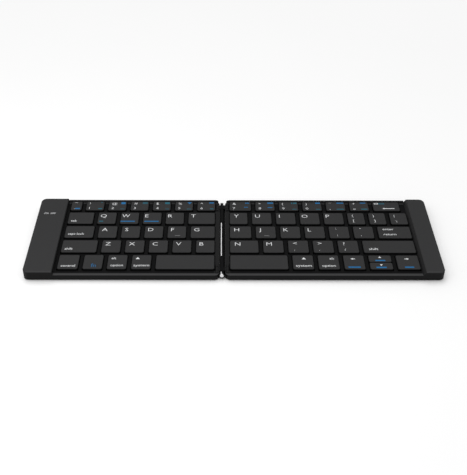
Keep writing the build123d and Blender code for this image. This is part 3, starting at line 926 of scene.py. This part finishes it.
class KEYBOARD_OT_print_figures(bpy.types.Operator):
    """Prints the number row with its second functions"""

    bl_idname = "keyboard.print_figures"
    bl_label = "Figures"

    def execute(self, context):
        def over(number, faces, ink_name="blue", right=0.0006, back=0.0005):
            return (ink_name, number, faces, ("back", "right"), right, back)

        def under(number, faces, ink_name="teal", right=0.0009, front=0.0012):
            return (ink_name, number, faces, ("front", "right"), right, front)

        pause = bar(0.0008, 0.0018) + moved(bar(0.0008, 0.0018), 0.0014, 0.0)
        skip = triangle(0.0017, 0.0018, "right") + moved(triangle(0.0017, 0.0018, "right"), 0.0016, 0.0)
        left = stacked(0, "~", "`") + [under(0, bar(0.0036, 0.0013), "blue")]
        for number, upper in enumerate("!@#$%^", 1):
            left += stacked(number, upper, str(number))
        left += [
            over(1, bar(0.0014, 0.0005), "teal", 0.0012),
            under(1, bar(0.0030, 0.0011)),
            over(2, bar(0.0032, 0.0026)),
            under(2, bar(0.0030, 0.0005)),
            over(3, bar(0.0038, 0.0008) + moved(bar(0.0038, 0.0008), 0.0, 0.0013), "teal"),
            over(4, bar(0.0036, 0.0024), "teal"), under(4, bar(0.0026, 0.0006)),
            over(5, triangle(0.0034, 0.0024, "down")), under(5, bar(0.0034, 0.0006)),
            over(6, bar(0.0036, 0.0014)), under(6, bar(0.0026, 0.0010)),
        ]
        print_on("keys_number_left", left)
        right = []
        for number, (upper, lower) in enumerate(zip("&*()_+", "7890-=")):
            right += stacked(number, upper, lower)
        right += [
            over(0, skip), under(0, bar(0.0030, 0.0007), "blue", 0.0020, 0.0036),
            over(1, bar(0.0044, 0.0016)), under(1, bar(0.0036, 0.0008), "blue", 0.0014, 0.0032),
            over(2, pause, "teal", 0.0026), over(2, bar(0.0018, 0.0018), "teal"),
            under(2, bar(0.0034, 0.0007)),
            over(3, bar(0.0036, 0.0015)), under(3, bar(0.0034, 0.0007)),
            over(4, bar(0.0052, 0.0012)), under(4, bar(0.0056, 0.0010)),
            over(5, bar(0.0042, 0.0010), "blue", 0.0016), under(5, bar(0.0048, 0.0012)),
            ("white", 6, outline(0.0030, 0.0016, 0.0004), ("back", "left"), 0.0010, 0.0010),
            ("teal", 6, outline(0.0044, 0.0016, 0.0005), ("back", "left"), 0.0044, 0.0010),
            ("white", 6, arrow(0.0092, 0.0018, "left", 0.0007), ("front", "middle"), 0.0014, 0.0017),
        ]
        print_on("keys_number_right", right)
        return {"FINISHED"}


class KEYBOARD_OT_print_signs(bpy.types.Operator):
    """Prints the punctuation keys"""

    bl_idname = "keyboard.print_signs"
    bl_label = "Signs"

    def execute(self, context):
        marks = []
        pairs = [("<", ",", 0.0034), (">", ".", 0.0033), ("?", "/", 0.0036), (":", ";", 0.0048),
                 ('"', "'", 0.0044), ("{", "[", 0.0030), ("}", "]", 0.0028), ("|", "\\", 0.0031)]
        for number, (upper, lower, margin) in enumerate(pairs):
            tall = small(upper, 1.35 if upper in "<>?" else 1.0)
            marks.append(("white", number, tall, ("back", "left"), margin, 0.0018))
            marks.append(("white", number, small(lower), ("front", "left"), margin + 0.0004, 0.0020))
        print_on("keys_punctuation", marks)
        return {"FINISHED"}


class KEYBOARD_OT_print_words(bpy.types.Operator):
    """Prints the long keys at the ends of the rows and the keys beside the space bars"""

    bl_idname = "keyboard.print_words"
    bl_label = "Words"

    def execute(self, context):
        margin = settings().printing.margin
        low = ("front", "left")
        left = [
            ("white", 0, word("control"), low, margin, 0.0020),
            ("blue", 1, big("fn", 0.8), ("front", "middle"), 0.0006, 0.0018),
            ("white", 2, word("alt"), ("back", "left"), margin, 0.0022),
            ("white", 2, word("option"), low, 0.0020, 0.0018),
            ("white", 3, triangle(0.0030, 0.0022, "up"), ("back", "left"), margin, 0.0022),
            ("white", 3, word("system", 1.2), ("front", "middle"), 0.0002, 0.0018),
            ("white", 4, word("shift"), low, margin, 0.0026),
            ("white", 5, word("caps lock", 0.92), low, margin, 0.0024),
            ("white", 6, word("tab"), low, margin, 0.0021),
        ]
        print_on("keys_modifier_left", left)
        right = [
            ("white", 0, triangle(0.0030, 0.0022, "up"), ("back", "right"), 0.0048, 0.0022),
            ("white", 0, word("system", 1.2), ("front", "middle"), 0.0002, 0.0016),
            ("white", 1, word("alt"), ("back", "right"), 0.0028, 0.0022),
            ("white", 1, word("option", 1.08), ("front", "middle"), -0.0002, 0.0016),
            ("white", 2, word("shift", 1.18), low, margin + 0.0015, 0.0028),
            ("white", 3, word("enter", 1.10), ("back", "left"), margin + 0.0014, 0.0022),
            ("white", 3, word("return", 1.10), low, margin + 0.0014, 0.0032),
        ]
        print_on("keys_modifier_right", right)
        return {"FINISHED"}


class KEYBOARD_OT_print_arrows(bpy.types.Operator):
    """Prints the four arrow keys"""

    bl_idname = "keyboard.print_arrows"
    bl_label = "Arrows"

    def execute(self, context):
        marks = [
            ("white", 0, arrow(0.0032, 0.0020, "left", 0.0006), ("back", "middle"), -0.0006, 0.0028),
            ("blue", 0, bar(0.0086, 0.0013), ("front", "middle"), -0.0004, 0.0013),
            ("white", 1, triangle(0.0022, 0.0016, "down"), ("back", "middle"), 0.0, 0.0018),
            ("blue", 1, bar(0.0072, 0.0014), ("front", "middle"), -0.0002, 0.0010),
            ("white", 2, arrow(0.0032, 0.0020, "right", 0.0006), ("back", "middle"), -0.0004, 0.0028),
            ("blue", 2, bar(0.0064, 0.0013), ("front", "middle"), 0.0002, 0.0013),
            ("white", 3, triangle(0.0022, 0.0016, "up"), ("back", "middle"), 0.0, 0.0010),
            ("blue", 3, bar(0.0070, 0.0013), ("front", "middle"), 0.0, 0.0006),
        ]
        print_on("keys_arrow", marks)
        return {"FINISHED"}


class KEYBOARD_OT_add_homing_bars(bpy.types.Operator):
    """Adds the raised bars that the forefingers feel for"""

    bl_idname = "keyboard.add_homing_bars"
    bl_label = "Homing bars"

    def execute(self, context):
        length, width, height = 0.0040, 0.0008, 0.00040
        aside, from_front = 0.0006, 0.0021  # from the middle of the key and from its front
        for letter in "fj":
            low, high = key_tops("key_" + letter)[0]
            form = ball(12, 8, 0.5)
            for vertex in form.verts:
                side = math.copysign(length / 2 - width / 2, vertex.co.x)
                vertex.co = Vector((
                    (low.x + high.x) / 2 + aside + side + vertex.co.x * width,
                    low.y + from_front + vertex.co.y * width,
                    low.z + vertex.co.z * height * 2,
                ))
            # The bars' pale finish is a painted highlight.
            show("homing_bar_" + letter, form, "key_" + letter, ["ridge"])
        return {"FINISHED"}


class KEYBOARD_OT_print_switch_label(bpy.types.Operator):
    """Prints ON and OFF over the power switch"""

    bl_idname = "keyboard.print_switch_label"
    bl_label = "Switch label"

    def execute(self, context):
        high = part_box("left_wing_cover")[1]
        knob_low, knob_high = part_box("switch_knob")
        height, stretch, from_back = 0.0020, 0.82, 0.0203
        travel = 0.002  # of the knob, from ON to OFF
        middle = (knob_low.x + knob_high.x + travel) / 2
        faces = text_shape("ON  OFF", height, stretch)
        left, _, right, _ = extent(faces)
        shift = Vector((middle - (left + right) / 2, high.y - from_back,
                        high.z + settings().printing.lift))
        form = bmesh.new()
        for face in faces:
            form.faces.new([form.verts.new(shift + Vector((x, y, 0.0))) for x, y in face])
        look_up(form)
        show("switch_label", form, "left_half", ["pale"])
        return {"FINISHED"}


class KEYBOARD_OT_add_screw_recesses(bpy.types.Operator):
    """Adds a dark cross on each screw head on the underside, painted shade for the hollow of its recess
    """

    bl_idname = "keyboard.add_screw_recesses"
    bl_label = "Screw recesses"

    def execute(self, context):
        arm, thick = 0.0017, 0.00042
        proud, deep = 0.000003, 0.000277  # from the head's face down and up into the head
        widest = 0.004  # more than a head and less than the way to the next
        for side in ("left", "right"):
            spots = [vertex.co for vertex in NODES[side + "_screws"].data.vertices]
            bottom = min(spot.z for spot in spots)
            heads = [spot for spot in spots if spot.z < bottom + LEVEL]
            middles = []
            for spot in heads:
                near = [other for other in heads if (other - spot).length < widest]
                middle = sum(near, Vector()) / len(near)
                if all((middle - other).length > widest / 2 for other in middles):
                    middles.append(middle)
            form = bmesh.new()
            for middle in middles:
                for x, y in ((arm, thick), (thick, arm)):
                    low = Vector((middle.x - x / 2, middle.y - y / 2, bottom - proud))
                    box_into(form, low, low + Vector((x, y, proud + deep)))
            show(side + "_screw_recesses", form, side + "_half", ["recess"])
        return {"FINISHED"}


class KEYBOARD_OT_add_socket_tongue(bpy.types.Operator):
    """Adds the tongue and its contacts inside the charging socket"""

    bl_idname = "keyboard.add_socket_tongue"
    bl_label = "Socket tongue"

    def execute(self, context):
        low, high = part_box("charging_port")
        middle = (low + high) / 2
        form = bmesh.new()
        half_width, half_height = (high.y - low.y) * 0.30, (high.z - low.z) * 0.12
        contacts, half_contact = 5, 0.00018
        box_into(
            form, Vector((low.x + 0.0008, middle.y - half_width, middle.z - half_height)),
            Vector((high.x - 0.0004, middle.y + half_width, middle.z + half_height)),
        )
        for i in range(contacts):
            y = middle.y + (i - contacts // 2) * half_width * 0.38
            top = middle.z + half_height
            box_into(form, Vector((low.x + 0.0009, y - half_contact, top - 0.00001)),
                     Vector((high.x - 0.0010, y + half_contact, top + 0.00006)), 1)
        show("socket_tongue", form, "left_half", ["chip", "gold"])
        return {"FINISHED"}


class KEYBOARD_OT_add_board_parts(bpy.types.Operator):
    """Adds the chips and small parts on the circuit board"""

    bl_idname = "keyboard.add_board_parts"
    bl_label = "Board parts"

    def execute(self, context):
        low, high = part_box("circuit_board")
        sunk = high.z - 0.00002  # a little into the board, so that nothing floats
        centre = (low.x + high.x) / 2
        form = bmesh.new()
        # Chips: right of the board's middle, distance from its front, width, depth and height.
        chips = [(0.0, 0.022, 0.0055, 0.0055, 0.0009), (0.0005, 0.034, 0.0035, 0.0040, 0.0008),
                 (-0.0010, 0.046, 0.0028, 0.0028, 0.0008)]
        for x, y, width, depth, height in chips:
            start = Vector((centre + x - width / 2, low.y + y - depth / 2, sunk))
            box_into(form, start, start + Vector((width, depth, height)))
            for i in range(5):
                leg = start.y + depth * (i + 0.7) / 5.4
                for edge in (start.x - 0.0005, start.x + width - 0.0002):
                    box_into(form, Vector((edge, leg, sunk)),
                             Vector((edge + 0.0007, leg + 0.0003, high.z + 0.0003)), 1)
        for i in range(8):
            x = centre - 0.003 + (i % 2) * 0.0052
            start = Vector((x, low.y + 0.0285 + i * 0.0022, sunk))
            box_into(form, start, start + Vector((0.0010, 0.0005, 0.0005)), 1)
        show("board_parts", form, "left_half", ["chip", "gold"])
        return {"FINISHED"}


# ---- stage ----


def lit_environment(strength):
    """Grey surroundings that look white to the camera and in reflections."""
    world = bpy.data.worlds.new("studio")
    bpy.context.scene.world = world
    finish = Finish("studio", world)
    seen = finish.add("ShaderNodeLightPath", output="Is Camera Ray")
    for kind in ("Is Glossy Ray", "Is Transmission Ray"):
        ray = finish.add("ShaderNodeLightPath", output=kind)
        seen = finish.add("ShaderNodeMath", {"operation": "MAXIMUM"}, {0: seen, 1: ray})
    level = finish.add("ShaderNodeMapRange", {}, {"Value": seen, "To Min": strength, "To Max": 1.0})
    background = finish.add(
        "ShaderNodeBackground", {}, {"Color": (1.0, 1.0, 1.0, 1.0), "Strength": level})
    finish.add("ShaderNodeOutputWorld", {}, {"Surface": background})


def floor_finish():
    """White floor that keeps the contact shadow and is plain white where nothing stands on it."""
    finish = Finish("studio_floor")
    sheen = finish.noise(0.2, 2.0)
    tone = finish.blend(sheen, (0.90, 0.90, 0.90), (0.92, 0.92, 0.92))
    seen = finish.add("ShaderNodeLightPath", output="Is Camera Ray")
    diffuse = finish.add("ShaderNodeBsdfDiffuse", {}, {"Color": tone})
    glow = finish.add("ShaderNodeEmission", {}, {
        "Color": (1.0, 1.0, 1.0, 1.0), "Strength": settings().stage.glow})
    both = finish.add("ShaderNodeAddShader", {}, {0: diffuse, 1: glow})
    shader = finish.add("ShaderNodeMixShader", {}, {0: seen, 1: diffuse, 2: both})
    finish.add("ShaderNodeOutputMaterial", {}, {"Surface": shader})
    return finish.owner


def lamp(name, kind, strength, place, target):
    """A lamp at a place, turned to a target."""
    light = bpy.data.lights.new(name, kind)
    light.energy = strength
    holder = link_new(name, light)
    holder.location = place
    holder.rotation_euler = (Vector(target) - holder.location).to_track_quat("-Z", "Y").to_euler()
    return light


CAMERA_PLACE = (-0.00896, -0.50630, 0.39537)
CAMERA_PITCH, CAMERA_YAW, CAMERA_ROLL = 0.6580, 0.0171, 0.0123  # down, to the right, tilt


class KEYBOARD_OT_build_stage(bpy.types.Operator):
    """Builds the white floor, the soft lamps and the camera"""

    bl_idname = "keyboard.build_stage"
    bl_label = "Stage"

    def execute(self, context):
        options = settings().stage
        lit_environment(options.fill)
        half = options.floor_size / 2
        form = bmesh.new()
        form.faces.new([form.verts.new(spot) for spot in (
            (-half, -half, 0), (half, -half, 0), (half, half, 0), (-half, half, 0))])
        mesh = mesh_of(form, "floor")
        mesh.materials.append(floor_finish())
        floor = link_new("floor", mesh)
        ceiling = lamp("ceiling", "SUN", options.ceiling, (-0.14, 0.38, 1.0), (0.0, 0.0, 0.0))
        ceiling.angle = math.radians(45)
        softbox = lamp("softbox_left", "AREA", options.softbox_watts,
                       (-0.20, -0.12, 0.34), (-0.10, -0.04, 0.0))
        softbox.shape = "SQUARE"
        softbox.size = 0.3
        lens = bpy.data.cameras.new("camera")
        lens.lens = options.camera_lens
        lens.sensor_width = 36.0
        lens.sensor_fit = "AUTO"
        lens.clip_start, lens.clip_end = 0.01, 20.0
        camera = link_new("camera", lens)
        pitch, yaw, roll = CAMERA_PITCH, CAMERA_YAW, CAMERA_ROLL
        across = Vector((math.cos(yaw), -math.sin(yaw), 0))
        ahead = Vector((
            math.sin(yaw) * math.cos(pitch), math.cos(yaw) * math.cos(pitch), -math.sin(pitch)))
        above = across.cross(ahead)
        x_axis = math.cos(roll) * across + math.sin(roll) * above
        y_axis = -math.sin(roll) * across + math.cos(roll) * above
        turn = Matrix((x_axis, y_axis, -ahead)).transposed().to_4x4()
        camera.matrix_world = Matrix.Translation(CAMERA_PLACE) @ turn
        context.scene.camera = camera
        context.scene.view_settings.view_transform = "Standard"
        return {"FINISHED"}


class KEYBOARD_PT_looks(bpy.types.Panel):
    """The steps that give the keyboard its looks"""

    bl_idname = "KEYBOARD_PT_looks"
    bl_label = "Folding keyboard"
    bl_space_type = "VIEW_3D"
    bl_region_type = "UI"
    bl_category = "Keyboard"

    def draw(self, context):
        looks = context.scene.keyboard_looks
        for group in (looks, looks.printing, looks.colours, looks.stage):
            column = self.layout.column(align=True)
            for name, field in group.bl_rna.properties.items():
                if name not in ("rna_type", "name") and field.type != "POINTER":
                    column.prop(group, name)
        column = self.layout.column(align=True)
        for step in STEPS:
            column.operator(step.bl_idname)


STEPS = (
    KEYBOARD_OT_dress_shells,
    KEYBOARD_OT_dress_keys,
    KEYBOARD_OT_dress_fold,
    KEYBOARD_OT_add_fold_trim,
    KEYBOARD_OT_dress_inside,
    KEYBOARD_OT_print_letters,
    KEYBOARD_OT_print_figures,
    KEYBOARD_OT_print_signs,
    KEYBOARD_OT_print_words,
    KEYBOARD_OT_print_arrows,
    KEYBOARD_OT_add_homing_bars,
    KEYBOARD_OT_print_switch_label,
    KEYBOARD_OT_add_screw_recesses,
    KEYBOARD_OT_add_socket_tongue,
    KEYBOARD_OT_add_board_parts,
    KEYBOARD_OT_build_stage,
)
GROUPS = (PrintSettings, ColourSettings, StageSettings, KeyboardSettings)


def register():
    for part in GROUPS + STEPS + (KEYBOARD_PT_looks,):
        bpy.utils.register_class(part)
    bpy.types.Scene.keyboard_looks = bpy.props.PointerProperty(type=KeyboardSettings)


def unregister():
    del bpy.types.Scene.keyboard_looks
    for part in reversed(GROUPS + STEPS + (KEYBOARD_PT_looks,)):
        bpy.utils.unregister_class(part)


def main():
    """Runs every step in order."""
    register()
    for step in STEPS:
        group, name = step.bl_idname.split(".")
        getattr(getattr(bpy.ops, group), name)()


if __name__ == "__main__":
    main()
